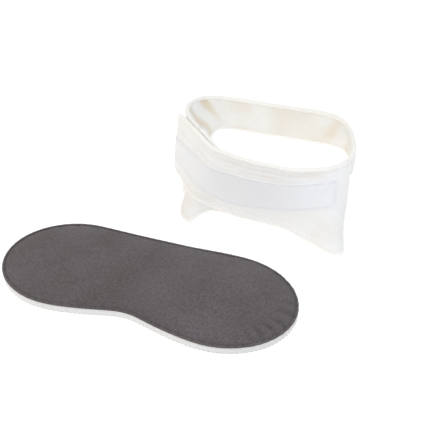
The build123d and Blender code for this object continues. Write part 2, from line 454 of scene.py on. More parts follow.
@dataclass
class FlatMesh:
    """A triangulated flat pattern piece.

    Attributes:
        points: n by 2 positions on the pattern.
        faces: m by 3 indices, counter-clockwise on the pattern.
        depth: distance of each point from the pattern's edge.
    """

    points: Array
    faces: Array
    depth: Array

    @classmethod
    def cut(cls, loop: Array, spacing: float, rings: Sequence[float], seed: int) -> "FlatMesh":
        """Fill an outline with evenly spread triangles.

        Args:
            loop: outline, evenly spaced points in order.
            spacing: distance between points inside.
            rings: distances from the edge where rows of points follow the outline.
            seed: picks the small jitter of the inner points.

        Returns:
            The pattern piece.
        """
        loop = counter_clockwise(loop)
        inward = inward_of(loop)
        rows = [loop]
        for ring in rings:
            row = loop + inward * ring
            rows.append(row[distance_to_loop(row, loop) > ring * 0.93])
        low, high = loop.min(0), loop.max(0)
        xs = np.arange(low[0], high[0], spacing)
        ys = np.arange(low[1], high[1], spacing * 0.866)
        gx, gy = np.meshgrid(xs, ys)
        gx = gx + (np.arange(len(ys)) % 2)[:, None] * spacing / 2
        grid = np.column_stack([gx.ravel(), gy.ravel()])
        grid += np.random.default_rng(seed).uniform(-0.12, 0.12, grid.shape) * spacing
        grid = grid[inside_loop(grid, loop)]
        limit = (rings[-1] if rings else 0.0) + 0.6 * spacing
        grid = grid[distance_to_loop(grid, loop) > limit]
        points = np.vstack(rows + [grid])
        count = len(loop)
        edges = [(i, (i + 1) % count) for i in range(count)]
        verts, _, faces, *_ = delaunay_2d_cdt([Vector(p) for p in points.tolist()], edges, [], 1, 1e-6)
        flat = np.array([tuple(v) for v in verts])
        tris = np.array([tuple(f) for f in faces])
        a, b, c = flat[tris[:, 0]], flat[tris[:, 1]], flat[tris[:, 2]]
        turn = (b - a)[:, 0] * (c - a)[:, 1] - (b - a)[:, 1] * (c - a)[:, 0]
        tris[turn < 0] = tris[turn < 0][:, ::-1]
        return cls(flat, tris, distance_to_loop(flat, loop))

    def rim(self) -> list[tuple[int, int]]:
        """Directed edges along the pattern's edge."""
        used = set()
        for a, b, c in self.faces.tolist():
            used.update(((a, b), (b, c), (c, a)))
        return [(a, b) for a, b in used if (b, a) not in used]

    def closed(self, flip: bool) -> list[tuple[int, ...]]:
        """Faces of a closed shell: front points first, then the same points of the back.

        Args:
            flip: true when the front faces away from a counter-clockwise turn.

        Returns:
            Faces over 2n points.
        """
        n = len(self.points)
        faces: list[tuple[int, ...]] = [tuple(f) for f in self.faces.tolist()]
        faces += [(c + n, b + n, a + n) for a, b, c in self.faces.tolist()]
        faces += [(b, a, a + n, b + n) for a, b in self.rim()]
        return [f[::-1] for f in faces] if flip else faces


def inside_loop(points: Array, loop: Array) -> Array:
    """Tell which points are inside an outline.

    Args:
        points: n by 2 array.
        loop: outline in order.

    Returns:
        n booleans.
    """
    inside = np.zeros(len(points), bool)
    ends = np.roll(loop, -1, axis=0)
    for (x0, y0), (x1, y1) in zip(loop, ends):
        if y0 == y1:
            continue
        crosses = (points[:, 1] < y0) != (points[:, 1] < y1)
        inside ^= crosses & (points[:, 0] < (x1 - x0) * (points[:, 1] - y0) / (y1 - y0) + x0)
    return inside


def tube(
    name: str, centres: Array, side: Array, up: Array, wide: Array, tall: Array,
    finish: Finish, sides: int = 14, shade_and_tint: Array | None = None,
) -> bpy.types.Object:
    """A soft roll swept round a closed line.

    Args:
        name: object name.
        centres: n by 3 points of the closed line.
        side: n by 3 unit vectors across the roll.
        up: n by 3 unit vectors through the roll.
        wide: n half widths along side.
        tall: n half heights along up.
        finish: what it is made of.
        sides: points round the section.
        shade_and_tint: n amounts of painted shade and tint, mixed toward the fold colour.

    Returns:
        The roll, closed on itself.
    """
    n = len(centres)
    angle = np.linspace(0, 2 * math.pi, sides, endpoint=False)
    ring = centres[:, None, :] + (
        side[:, None, :] * (np.cos(angle)[None, :, None] * wide[:, None, None])
        + up[:, None, :] * (np.sin(angle)[None, :, None] * tall[:, None, None])
    )
    run = np.r_[0, np.cumsum(np.linalg.norm(np.diff(centres, axis=0), axis=1))]
    girth = angle * float(np.mean(wide + tall) / 2)
    uv = np.column_stack([np.repeat(run, sides), np.tile(girth, n)]) * MM
    faces = []
    for i in range(n):
        j = (i + 1) % n
        for k in range(sides):
            m = (k + 1) % sides
            faces.append((i * sides + k, i * sides + m, j * sides + m, j * sides + k))
    tangent = centres[1] - centres[0]
    if np.dot(np.cross(side[0], up[0]), tangent) > 0:
        faces = [f[::-1] for f in faces]
    shade_and_tint_amount = None if shade_and_tint is None else np.repeat(shade_and_tint, sides)
    return make_piece(name, ring.reshape(-1, 3), faces, finish, uv, shade_and_tint_amount)


# ---------------------------------------------------------------- stitches


@dataclass(frozen=True)
class StitchRun:
    """Running stitches made by a node tree along a line of points.

    Attributes:
        pitch: from one stitch to the next, metres.
        length: length of a stitch, metres.
        radius: half the thread's thickness, metres.
        finish: the thread.
    """

    pitch: float = 0.0032
    length: float = 0.0021
    radius: float = 0.00022
    finish: Finish = THREAD

    def tree(self) -> tuple[bpy.types.NodeTree, dict[str, str]]:
        """Build the node tree once for each thread.

        Returns:
            The tree and the identifiers of its named inputs.
        """
        name = "stitch_run_" + self.finish.name
        group = bpy.data.node_groups.get(name)
        if group is None:
            group = bpy.data.node_groups.new(name, "GeometryNodeTree")
            face = group.interface
            face.new_socket("Line", in_out="INPUT", socket_type="NodeSocketGeometry")
            for label in ("Pitch", "Length", "Radius"):
                face.new_socket(label, in_out="INPUT", socket_type="NodeSocketFloat")
            face.new_socket("Stitches", in_out="OUTPUT", socket_type="NodeSocketGeometry")
            self.wire(group)
        names = {s.name: s.identifier for s in group.interface.items_tree if s.in_out == "INPUT"}
        return group, names

    def wire(self, group: bpy.types.NodeTree) -> None:
        """Join the tree's nodes.

        Args:
            group: the empty tree with its sockets.
        """
        def new(kind: str, inputs: dict | None = None, **settings) -> bpy.types.Node:
            return add_node(group, "GeometryNode" + kind, inputs, **settings)

        given = group.nodes.new("NodeGroupInput")
        result = group.nodes.new("NodeGroupOutput")
        curve = new("MeshToCurve")
        spaced = new("ResampleCurve", mode="LENGTH")
        points = new("InstanceOnPoints")
        thread = new("MeshUVSphere", {"Segments": 8, "Rings": 6, "Radius": 1.0})
        tangent = new("InputTangent")
        turn = add_node(group, "FunctionNodeAlignRotationToVector", axis="Z")
        half = add_node(group, "ShaderNodeMath", {1: 0.5}, operation="MULTIPLY")
        vary = add_node(group, "FunctionNodeRandomValue", {"Seed": 11, 2: 0.85, 3: 1.1})
        longer = add_node(group, "ShaderNodeMath", operation="MULTIPLY")
        size = add_node(group, "ShaderNodeCombineXYZ")
        real = new("RealizeInstances")
        dress = new("SetMaterial", {"Material": self.finish.material()})
        shade = new("SetShadeSmooth")
        for start, end in (
            (given.outputs["Line"], curve.inputs["Mesh"]),
            (curve.outputs["Curve"], spaced.inputs["Curve"]),
            (given.outputs["Pitch"], spaced.inputs["Length"]),
            (spaced.outputs["Curve"], points.inputs["Points"]),
            (thread.outputs["Mesh"], points.inputs["Instance"]),
            (tangent.outputs["Tangent"], turn.inputs["Vector"]),
            (turn.outputs["Rotation"], points.inputs["Rotation"]),
            (given.outputs["Length"], half.inputs[0]),
            (half.outputs[0], longer.inputs[0]),
            (vary.outputs[1], longer.inputs[1]),
            (given.outputs["Radius"], size.inputs["X"]),
            (given.outputs["Radius"], size.inputs["Y"]),
            (longer.outputs[0], size.inputs["Z"]),
            (size.outputs["Vector"], points.inputs["Scale"]),
            (points.outputs["Instances"], real.inputs["Geometry"]),
            (real.outputs["Geometry"], shade.inputs["Geometry"]),
            (shade.outputs["Geometry"], dress.inputs["Geometry"]),
            (dress.outputs["Geometry"], result.inputs["Stitches"]),
        ):
            group.links.new(start, end)

    def sew(self, name: str, line: Array, closed: bool) -> bpy.types.Object:
        """Sew along a line.

        Args:
            name: object name.
            line: n by 3 points in millimetres.
            closed: true for a loop.

        Returns:
            The stitches as one plain mesh.
        """
        mesh = bpy.data.meshes.new(name + "_line")
        count = len(line)
        edges = [(i, i + 1) for i in range(count - 1)] + ([(count - 1, 0)] if closed else [])
        mesh.from_pydata(to_frame(line).tolist(), edges, [])
        guide = bpy.data.objects.new(name + "_line", mesh)
        bpy.context.scene.collection.objects.link(guide)
        group, names = self.tree()
        mod = guide.modifiers.new("stitches", "NODES")
        mod.node_group = group
        mod[names["Pitch"]] = self.pitch
        mod[names["Length"]] = self.length
        mod[names["Radius"]] = self.radius
        graph = bpy.context.evaluated_depsgraph_get()
        graph.update()
        plain = bpy.data.meshes.new_from_object(guide.evaluated_get(graph), depsgraph=graph)
        bpy.data.objects.remove(guide)
        plain.name = name
        if "cloth" not in plain.uv_layers:
            plain.uv_layers.new(name="cloth")
        obj = bpy.data.objects.new(name, plain)
        bpy.context.scene.collection.objects.link(obj)
        LOG.info("%s: %d faces", name, len(plain.polygons))
        return obj


# ---------------------------------------------------------------- the ring wall


@dataclass
class RingWall:
    """The wrap's closed wall: where cloth stands for each run along it and each height.

    The reference face is the outside of the wrap's inner layer. Stations give the
    wall's plan at the top, at mid height and at the table, from the right side
    forward round the front, the left side and the back.

    Attributes:
        stations: (top, middle, foot) plan points, millimetres.
        top: height of the upper edge.
        middle: height of the middle row.
    """

    stations: Sequence[tuple[tuple[float, float], ...]] = (
        ((120.5, 124), (121, 124), (121, 124)),
        ((118.5, 112), (120, 112), (121, 112)),
        ((114.5, 103.5), (117.5, 102), (119.5, 102)),
        ((111.5, 98), (115.5, 94.5), (123, 86)),
        ((104.5, 90.5), (110, 87.5), (121.5, 77.5)),
        ((95, 86.5), (99, 86), (108.5, 78.2)),
        ((81, 82.3), (82, 84.5), (88, 86)),
        ((68, 81.2), (68, 84.5), (70, 88.8)),
        ((50, 82.3), (50, 85), (50, 88.5)),
        ((31.5, 87), (31, 88), (31, 87.5)),
        ((21, 91), (20, 91), (17, 86.5)),
        ((13.5, 97.5), (11, 95), (4, 74)),
        ((6, 105.5), (3.5, 100.5), (-6.5, 79)),
        ((-0.5, 112.3), (-4, 107), (-13, 96)),
        ((-12, 124), (-14, 119), (-19, 111)),
        ((-20.5, 135), (-18.5, 132), (-20, 128)),
        ((-25, 146), (-15, 146), (-11, 147)),
        ((-24.5, 158), (-10, 158), (0, 160)),
        ((-18.5, 169), (-5.5, 169.5), (4, 172)),
        ((-6, 175.3), (2, 176), (8, 178)),
        ((14, 177), (15, 177), (16, 178)),
        ((42, 176.5), (42, 177), (42, 179)),
        ((64, 176), (64, 176.5), (64, 178)),
        ((80, 175.8), (81, 175.5), (82, 177)),
        ((95, 173.3), (96, 172.5), (98, 173)),
        ((105.5, 165.8), (108, 166), (111, 167)),
        ((112.5, 153.5), (115, 155), (118, 156)),
        ((116.5, 141), (118.5, 141), (120, 141)),
    )
    top: float = 67.0
    middle: float = 33.0

    def __post_init__(self) -> None:
        """Measure the wall's run once."""
        knots = np.array(self.stations, float)
        self.rows = [knots[:, k] for k in range(3)]
        count = len(knots)
        self.turn = np.linspace(0, count, count * 40 + 1)
        mid = (self.curve(self.rows[0], self.turn) + self.curve(self.rows[1], self.turn)) / 2
        self.run = np.r_[0, np.cumsum(np.linalg.norm(np.diff(mid, axis=0), axis=1))]
        self.length = float(self.run[-1])

    @staticmethod
    def curve(knots: Array, turn: Array) -> Array:
        """Points of the smooth closed line through knots.

        Args:
            knots: n by 2 plan points.
            turn: station numbers, with fractions.

        Returns:
            Plan points.
        """
        n = len(knots)
        i = np.floor(turn).astype(int)
        f = (turn - i)[:, None]
        p0, p1, p2, p3 = knots[(i - 1) % n], knots[i % n], knots[(i + 1) % n], knots[(i + 2) % n]
        square = 2 * p0 - 5 * p1 + 4 * p2 - p3
        cube = 3 * p1 - p0 - 3 * p2 + p3
        return 0.5 * (2 * p1 + (p2 - p0) * f + square * f**2 + cube * f**3)

    def place(self, u: Array, z: Array) -> Array:
        """Points on the reference face.

        Args:
            u: run along the wall, millimetres.
            z: heights, millimetres.

        Returns:
            n by 3 points.
        """
        turn = np.interp(np.mod(u, self.length), self.run, self.turn)
        top, mid, foot = (self.curve(row, turn) for row in self.rows)
        h, m, zz = self.top, self.middle, z[:, None]
        plan = (
            top * (zz * (zz - m) / (h * (h - m)))
            + mid * (zz * (h - zz) / (m * (h - m)))
            + foot * ((zz - m) * (zz - h) / (m * h))
        )
        return np.column_stack([plan, z])

    def at(self, u: Array, z: Array, off: Array | float) -> tuple[Array, Array]:
        """Points stood off from the wall.

        Args:
            u: run along the wall.
            z: heights.
            off: distance out from the reference face.

        Returns:
            The points and the outward directions there.
        """
        step = 1.0
        du = self.place(u + step, z) - self.place(u - step, z)
        dz = self.place(u, z + step) - self.place(u, z - step)
        out = np.cross(dz, du)
        out /= np.linalg.norm(out, axis=1)[:, None]
        return self.place(u, z) + out * np.broadcast_to(off, u.shape)[:, None], out


def ramp(x: Array | float, low: float, high: float) -> Array:
    """Smooth step from 0 at low to 1 at high."""
    t = np.clip((np.asarray(x, float) - low) / (high - low), 0, 1)
    return t * t * (3 - 2 * t)


Field = Callable[[Array, Array], Array]


@dataclass
class PaddedPanel:
    """One padded panel of the wrap: cover, wadding, lining and a rolled, stitched edge.

    Attributes:
        name: start of every piece's name.
        wall: the ring it lies on.
        corners: (run, height, radius) of the outline.
        middle: where the panel's middle layer stands, out from the reference face.
        folds: height of the cover's folds at each place.
        inner_folds: height of the lining's folds.
        cover_finish: outside cloth.
        lining_finish: inside cloth.
    """

    name: str
    wall: RingWall
    corners: Sequence[tuple[float, float, float]]
    middle: Field
    folds: Field
    inner_folds: Field
    cover_finish: Finish = CREAM
    lining_finish: Finish = LINING
    thickness: float = 4.2
    roll: float = 1.7
    groove: float = 3.4
    cloth: float = 0.8
    spacing: float = 1.35
    pieces: dict[str, bpy.types.Object] = field(default_factory=dict)

    def __post_init__(self) -> None:
        """Cut the outline."""
        self.loop = counter_clockwise(rounded_loop(self.corners, OUTLINE_STEP))

    def inset(self, amount: float) -> Array:
        """The outline moved in.

        Args:
            amount: distance in from the edge.

        Returns:
            Outline points, evenly spaced.
        """
        return respace(flat_inset(self.loop, amount), OUTLINE_STEP)

    def swell(self, depth: Array) -> Array:
        """Half the panel's thickness at a distance in from the edge."""
        full = self.thickness / 2
        return 1.4 + (full - 1.4) * (1 - np.exp(-np.maximum(depth - self.groove, 0) / 2.0))

    def stand(self, points: Array, side: Side) -> Array:
        """How far out a face of the panel stands.

        Args:
            points: n by 2 run and height.
            side: which face.

        Returns:
            Distances out from the reference face.
        """
        u, z = points[:, 0], points[:, 1]
        depth = distance_to_loop(points, self.loop)
        fold = self.folds(u, z) if side is Side.OUT else self.inner_folds(u, z)
        pucker = 0.16 * np.sin(2 * math.pi * (u + z) / 4.7 + 2.0 * value_noise(u / 9, z / 9, 5))
        pucker *= np.exp(-np.abs(depth - self.groove) / 1.6)
        calm = ramp(depth, 2.5, 6.0)
        return self.middle(u, z) + side.value * (self.swell(depth) + fold * calm + pucker)

    def shade_and_tint_amount(self, points: Array, side: Side) -> Array:
        """Painted shade at each place: darker in the fold valleys and along the seam groove inside the
        rolled edge.
        """
        u, z = points[:, 0], points[:, 1]
        depth = distance_to_loop(points, self.loop)
        fold = self.folds(u, z) if side is Side.OUT else self.inner_folds(u, z)
        return np.clip(-fold * 0.45, 0, 0.8) + 0.10 * np.exp(-(((depth - self.groove) / 0.7) ** 2))

    def layer(self, name: str, side: Side, finish: Finish) -> bpy.types.Object:
        """Cover or lining: a thin closed shell over one face.

        Args:
            name: object name.
            side: which face.
            finish: its cloth.

        Returns:
            The piece.
        """
        flat = FlatMesh.cut(self.inset(1.7), self.spacing, (0.9, 1.7, 2.6, 3.6), 3)
        u, z = flat.points.T
        face = self.stand(flat.points, side)
        front, _ = self.wall.at(u, z, face)
        back, _ = self.wall.at(u, z, face - side.value * self.cloth)
        shade_and_tint_amount = self.shade_and_tint_amount(flat.points, side)
        return make_piece(
            name, np.vstack([front, back]), flat.closed(flip=side is Side.OUT), finish,
            np.vstack([flat.points, flat.points]) * MM, np.r_[shade_and_tint_amount, shade_and_tint_amount],
        )

    def wadding(self, name: str) -> bpy.types.Object:
        """Soft filling between cover and lining, a closed body."""
        flat = FlatMesh.cut(self.inset(2.6), 3.0, (1.5,), 4)
        u, z = flat.points.T
        inner = self.cloth + 0.02
        out = self.stand(flat.points, Side.OUT) - inner
        back = self.stand(flat.points, Side.IN) + inner
        mid = (out + back) / 2
        half = np.maximum((out - back) / 2, 0.05)
        rim = ramp(flat.depth, 0.0, 2.5) * 0.9 + 0.1
        front, _ = self.wall.at(u, z, mid + half * rim)
        rear, _ = self.wall.at(u, z, mid - half * rim)
        return make_piece(
            name, np.vstack([front, rear]), flat.closed(flip=True), FOAM, np.vstack([flat.points] * 2) * MM
        )

    def edge(self, name: str, finish: Finish) -> bpy.types.Object:
        """Rolled edge round the whole panel."""
        line = self.inset(self.roll)
        u, z = line.T
        middle = self.middle(u, z)
        centres, out = self.wall.at(u, z, middle)
        ahead = np.roll(centres, -1, axis=0) - np.roll(centres, 1, axis=0)
        ahead /= np.linalg.norm(ahead, axis=1)[:, None]
        side = np.cross(ahead, out)
        side /= np.linalg.norm(side, axis=1)[:, None]
        run = np.arange(len(line)) * OUTLINE_STEP
        uneven = 0.10 * value_noise(run / 7, run * 0 + 0.5, 8) + 0.06 * np.sin(run * 2 * math.pi / 4.1)
        wide = np.full(len(line), self.roll) + uneven * 0.6
        tall = np.full(len(line), self.thickness / 2 - 0.25) + uneven
        shade_and_tint_amount = 0.03 + 0.08 * value_noise(run / 12, run * 0 + 1.5, 9)
        return tube(name, centres, side, out, wide, tall, finish, shade_and_tint=shade_and_tint_amount)

    def seam(self, name: str, side: Side) -> bpy.types.Object:
        """Running stitches along the groove inside the rolled edge."""
        line = self.inset(self.groove + 0.1)
        u, z = line.T
        points, _ = self.wall.at(u, z, self.stand(line, side) + side.value * 0.02)
        return StitchRun().sew(name, points, closed=True)

    def build(self) -> None:
        """Make every piece of the panel."""
        n = self.name
        self.pieces["cover"] = self.layer(f"{n}_cover", Side.OUT, self.cover_finish)
        self.pieces["wadding"] = self.wadding(f"{n}_wadding")
        self.pieces["lining"] = self.layer(f"{n}_lining_cloth", Side.IN, self.lining_finish)
        self.pieces["edge"] = self.edge(f"{n}_rolled_edge", CREAM_EDGE)
        self.pieces["outer_seam"] = self.seam(f"{n}_outer_seam", Side.OUT)
        self.pieces["inner_seam"] = self.seam(f"{n}_inner_seam", Side.IN)


@dataclass
class Tape:
    """A strip of loop or hook tape sewn onto one face of a panel.

    Attributes:
        name: object name.
        panel: what it is sewn to.
        corners: (run, height, radius) of its outline.
        side: which face of the panel.
        height: how thick it stands.
        finish: its pile.
    """

    name: str
    panel: PaddedPanel
    corners: Sequence[tuple[float, float, float]]
    side: Side
    height: float
    finish: Finish

    def waves(self, u: Array, z: Array) -> Array:
        """Slow waves of the pile, with drawn-in gathers near the sewn end at the right."""
        gather = 0.28 * np.sin((u + 0.5 * z) / 1.35 + value_noise(u / 6, z / 9, 16)) * (1 - ramp(u, 40, 52))
        return 0.12 * value_noise(u / 11, z / 8, 15) + gather

    def build(self) -> tuple[bpy.types.Object, bpy.types.Object]:
        """Make the tape and its stitches.

        Returns:
            The tape and the stitches.
        """
        loop = rounded_loop(self.corners, 1.1)
        flat = FlatMesh.cut(loop, 1.3, (0.35, 0.8, 1.5), 6)
        u, z = flat.points.T
        base = self.panel.stand(flat.points, self.side)
        groove = np.exp(-(((flat.depth - 1.5) / 0.5) ** 2))
        pucker = 0.12 * np.sin(2 * math.pi * (u + z) / 3.9 + 2 * value_noise(u / 7, z / 7, 14))
        pucker *= np.exp(-np.abs(flat.depth - 1.2) / 1.4)
        rise = self.height * (0.35 + 0.65 * (1 - np.exp(-flat.depth / 0.35))) - 0.45 * groove * self.height
        wave = self.waves(u, z)
        rise = rise + pucker + wave
        front, _ = self.panel.wall.at(u, z, base + self.side.value * rise)
        back, _ = self.panel.wall.at(u, z, base - self.side.value * 0.12)
        # Painted shade in the stitching groove and in the valleys of the puckers and waves.
        shade_and_tint_amount = 0.3 * groove + np.clip(-pucker - wave * 0.4, 0, 1)
        tape = make_piece(
            self.name, np.vstack([front, back]), flat.closed(flip=self.side is Side.OUT), self.finish,
            np.vstack([flat.points] * 2) * MM, np.r_[shade_and_tint_amount, shade_and_tint_amount],
        )
        row = flat_inset(loop, 1.5)
        points, _ = self.panel.wall.at(
            row[:, 0], row[:, 1], self.panel.stand(row, self.side) + self.side.value * self.height * 0.56
        )
        run = StitchRun(pitch=0.0028, length=0.0018, radius=0.00020)
        return tape, run.sew(self.name + "_stitches", points, True)


# ---------------------------------------------------------------- head wrap


def crease_line(u: Array, z: Array, height: Array | float, width: float, low: float, high: float) -> Array:
    """A soft valley along a panel.

    Args:
        u: runs.
        z: heights.
        height: where the valley lies.
        width: its width.
        low: run where it starts.
        high: run where it ends.

    Returns:
        0 to -1 at each place.
    """
    fade = ramp(u, low, low + 14) * (1 - ramp(u, high - 14, high))
    return -np.exp(-(((z - height) / width) ** 2)) * fade


@dataclass
class HeadWrap:
    """The padded ring: outer wing, inner wing and strap, with their tapes.

    Attributes:
        wall: the ring they stand on.
        hinge_right: start and end of a bend line for the outer wing, about the pad's middle; not used.
        hinge_left: start and end of a bend line for the inner wing; not used.
    """

    wall: RingWall = field(default_factory=RingWall)
    hinge_right: tuple[tuple[float, float], ...] = ((127.0, 108.0), (116.0, 92.0))
    hinge_left: tuple[tuple[float, float], ...] = ((-7.0, 112.0), (3.0, 92.0))

    def outer_stand(self, u: Array, z: Array) -> Array:
        """Where the outer wing's middle stands; the free end springs off the layer inside."""
        side = 2.4 + 1.9 * ramp(u, 28, 70)
        pinch = 2.1 * ramp(z, 52, 63) * ramp(u, 60, 80) * (1 - ramp(u, 174, 190))
        belly = 2.6 * ramp(u, 150, 186) * np.sin(math.pi * np.clip(z / 60, 0, 1))
        return side - pinch + belly + 0.8 * ramp(u, 174, 190)

    def inner_stand(self, u: Array, z: Array) -> Array:
        """Where the inner layer's middle stands."""
        return np.full_like(u, -2.1)

    def outer_folds(self, u: Array, z: Array) -> Array:
        """Folds of the outer wing's cover."""
        slow = 0.55 * value_noise(u / 26, z / 13, 21) + 0.18 * value_noise(u / 9, z / 5, 22)
        long = 0.75 * crease_line(u, z, 60.5 - 0.012 * (u - 90), 0.9, 38, 150)
        lower = 0.55 * crease_line(u, z, 57.2 + 0.02 * (u - 90), 0.8, 66, 128)
        left = 0.7 * crease_line(u, z, 54 + 0.06 * (u - 130), 1.2, 120, 186)
        sag = 0.5 * crease_line(u, z, 20.5 + 0.02 * (u - 90), 1.0, 60, 150)
        lobe = 0.25 * np.sin((u + 0.7 * z) / 5.2) * ramp(u, 28, 36) * (1 - ramp(u, 52, 64))
        return slow + long + lower + left + sag + lobe * (1 - ramp(z, 16, 30))

    def lining_folds(self, u: Array, z: Array) -> Array:
        """Folds of the strap's lining: deep at the left bend and near the right end."""
        lean = u + 0.55 * (z - 50)
        left = 1.5 * np.sin(lean / 3.4 + 1.4 * value_noise(u / 14, z / 14, 31))
        left *= ramp(u, 186, 200) * (1 - ramp(u, 222, 238))
        right = 0.9 * np.sin((u - 0.9 * (z - 50)) / 5.5 + 1.0) * ramp(u, 322, 338) * (1 - ramp(u, 362, 376))
        return left + right + 0.6 * value_noise(u / 17, z / 12, 32) - 0.15

    def soft_folds(self, u: Array, z: Array) -> Array:
        """Slight waviness of cloth that lies easily."""
        return 0.5 * value_noise(u / 22, z / 12, 41) + 0.15 * value_noise(u / 8, z / 5, 42)

    def outer_wing(self) -> None:
        """Build the outer wing, its loop strip and its hook patch."""
        panel = PaddedPanel(
            "outer_wing",
            self.wall,
            (
                (19.5, 67, 4), (188.5, 67, 4), (187.5, 20.5, 11), (163, 21.5, 30), (146, 18.4, 30),
                (127, 14.6, 30), (105, 12.4, 30), (88, 11.9, 30), (70, 11.1, 7),
                (42, -0.8, 5), (34.5, -0.8, 4), (29, 16, 20), (21.5, 33, 20), (19.5, 50, 20),
            ),
            self.outer_stand, self.outer_folds, self.soft_folds,
        )
        panel.build()
        strip, strip_sewing = Tape(
            "outer_loop_pile",
            panel,
            (
                (34, 57, 2.5), (73, 54.2, 60), (110, 53.2, 60), (138, 50, 40), (183.5, 50, 4),
                (182.5, 32, 8), (163, 31, 40), (136, 26, 40), (112, 24.4, 40), (92, 27, 50),
                (56, 32, 40), (35.5, 35, 2.5),
            ),
            Side.OUT, 0.9, LOOP,
        ).build()
        hook, hook_sewing = Tape(
            "hook_tape_patch",
            panel,
            ((133, 49, 3), (183, 49, 3), (183, 31, 5), (133, 27, 3)),
            Side.IN, 0.9, HOOK,
        ).build()
        for piece in (*panel.pieces.values(), strip, strip_sewing, hook, hook_sewing):
            self.bend(piece)
        self.dress(panel, "outer_wing_edge")
        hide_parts("outer_loop_strip")
        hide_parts("hook_patch")

    def inner_wing(self) -> None:
        """Build the inner wing and its loop strip."""
        panel = PaddedPanel(
            "inner_wing",
            self.wall,
            (
                (158.6, 67, 2), (146, 66.6, 40), (126, 63.4, 40), (87, 62.4, 4), (87, 10, 4),
                (126, 7.6, 4), (132, 6.6, 3), (138.5, 1.5, 4), (157.0, 1.6, 5), (158.6, 9, 3),
            ),
            self.inner_stand, self.soft_folds, self.soft_folds,
        )
        panel.build()
        strip, sewing = Tape(
            "inner_loop_pile",
            panel,
            ((91.5, 51, 2.5), (154, 51, 2.5), (154, 23, 2.5), (91.5, 23, 2.5)),
            Side.OUT, 0.8, LOOP,
        ).build()
        for piece in (*panel.pieces.values(), strip, sewing):
            self.bend(piece)
        self.dress(panel, "inner_wing_edge")
        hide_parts("inner_loop_strip")

    def strap(self) -> None:
        """Build the strap round the back."""
        panel = PaddedPanel(
            "strap",
            self.wall,
            (
                (159.4, 67, 2), (386, 67, 60), (400, 63.5, 30), (414, 58.5, 3), (414, 46, 3),
                (388, 45.5, 40), (372, 44, 40), (351, 40.5, 40), (329, 37, 40), (290, 36, 60),
                (231, 36, 30), (217, 34, 20), (205, 27, 20), (180, 14, 30), (159.4, 7.5, 2),
            ),
            self.inner_stand, self.soft_folds, self.lining_folds,
        )
        panel.build()
        for piece in panel.pieces.values():
            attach(piece, "strap")
        self.dress(panel, "strap_top_edge", "strap_bottom_edge")

    def bend(self, piece: bpy.types.Object) -> None:
        """Bake a piece's placement into its mesh.

        Args:
            piece: the piece.
        """
        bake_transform(piece)

    def dress(self, panel: PaddedPanel, *edges: str) -> None:
        """Hide the CAD nodes that a panel's pieces stand for.

        Args:
            panel: the panel, already built.
            *edges: CAD nodes that the rolled edge stands for.
        """
        n = panel.name
        nodes = {
            "cover": (f"{n}_shell",), "wadding": (f"{n}_padding",),
            "lining": (f"{n}_lining",), "edge": edges,
        }
        for part, piece in panel.pieces.items():
            if part in nodes:
                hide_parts(*nodes[part])

    def build(self) -> None:
        """Build the whole wrap."""
        self.strap()
        self.inner_wing()
        self.outer_wing()


# ---------------------------------------------------------------- eye pad


